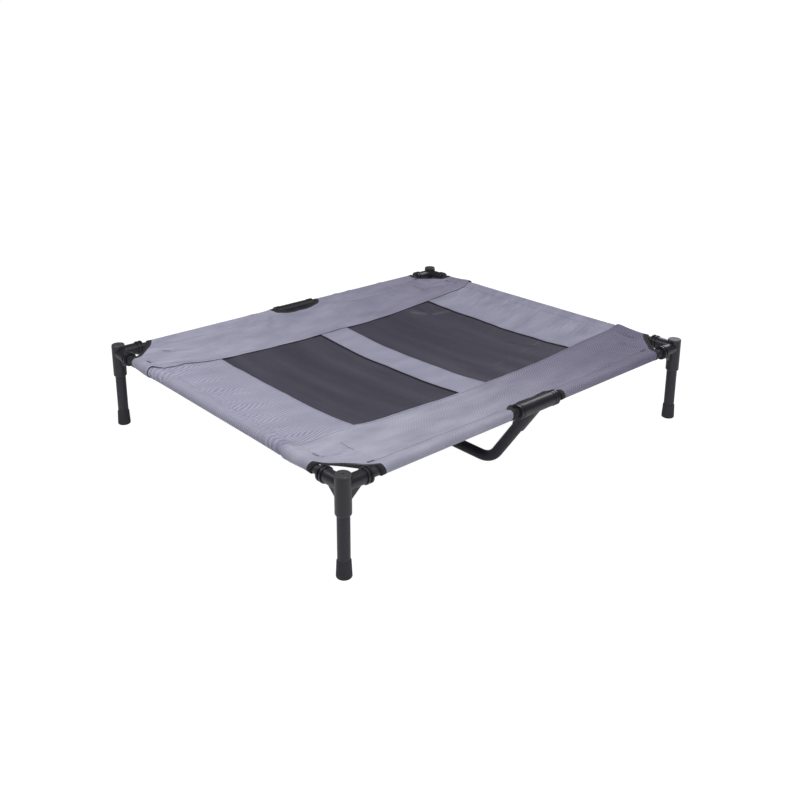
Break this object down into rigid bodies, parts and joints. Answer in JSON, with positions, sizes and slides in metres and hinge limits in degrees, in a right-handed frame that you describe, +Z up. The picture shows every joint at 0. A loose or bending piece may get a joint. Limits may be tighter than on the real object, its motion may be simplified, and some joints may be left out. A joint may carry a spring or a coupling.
{
  "type": "raised dog cot",
  "caption": "Raised dog cot: a sewn cover with net windows stretched over a tubular frame with moulded corner connectors, rubber-footed legs and a bent centre support bar.",
  "frame": {"origin": "middle of the footprint, on the floor", "axes": "+X along the long side to the right, +Y along the short side to the back, +Z up"},
  "size_m": [0.914, 0.762, 0.176],
  "materials": {
    "connector_plastic": "black moulded plastic with a soft sheen",
    "tube_steel": "black powder coat, satin",
    "foot_rubber": "black matte rubber",
    "cover_cloth": "grey-lilac coated woven polyester, faint sheen",
    "net_cloth": "dark grey coated net, fine weave",
    "binding_tape": "black woven edge tape"
  },
  "bodies": {
    "root": {"corner_connector_front_left": "connector_plastic", "corner_plug_front_left": "connector_plastic", "leg_tube_front_left": "tube_steel", "rubber_foot_front_left": "foot_rubber", "corner_binding_front_left": "binding_tape", "corner_connector_front_right": "connector_plastic", "corner_plug_front_right": "connector_plastic", "leg_tube_front_right": "tube_steel", "rubber_foot_front_right": "foot_rubber", "corner_binding_front_right": "binding_tape", "corner_connector_back_right": "connector_plastic", "corner_plug_back_right": "connector_plastic", "leg_tube_back_right": "tube_steel", "rubber_foot_back_right": "foot_rubber", "corner_binding_back_right": "binding_tape", "corner_connector_back_left": "connector_plastic", "corner_plug_back_left": "connector_plastic", "leg_tube_back_left": "tube_steel", "rubber_foot_back_left": "foot_rubber", "corner_binding_back_left": "binding_tape", "side_rail_front_left": "tube_steel", "side_rail_front_right": "tube_steel", "side_rail_back_left": "tube_steel", "side_rail_back_right": "tube_steel", "end_rail_left": "tube_steel", "end_rail_right": "tube_steel", "center_support_bar": "tube_steel", "tee_connector_front": "connector_plastic", "tee_connector_back": "connector_plastic", "front_flap": "cover_cloth", "back_flap": "cover_cloth", "left_end_panel": "cover_cloth", "right_end_panel": "cover_cloth", "center_strip": "cover_cloth", "left_net_panel": "net_cloth", "right_net_panel": "net_cloth", "tee_binding_front": "binding_tape", "tee_binding_back": "binding_tape"}
  },
  "joints": []
}
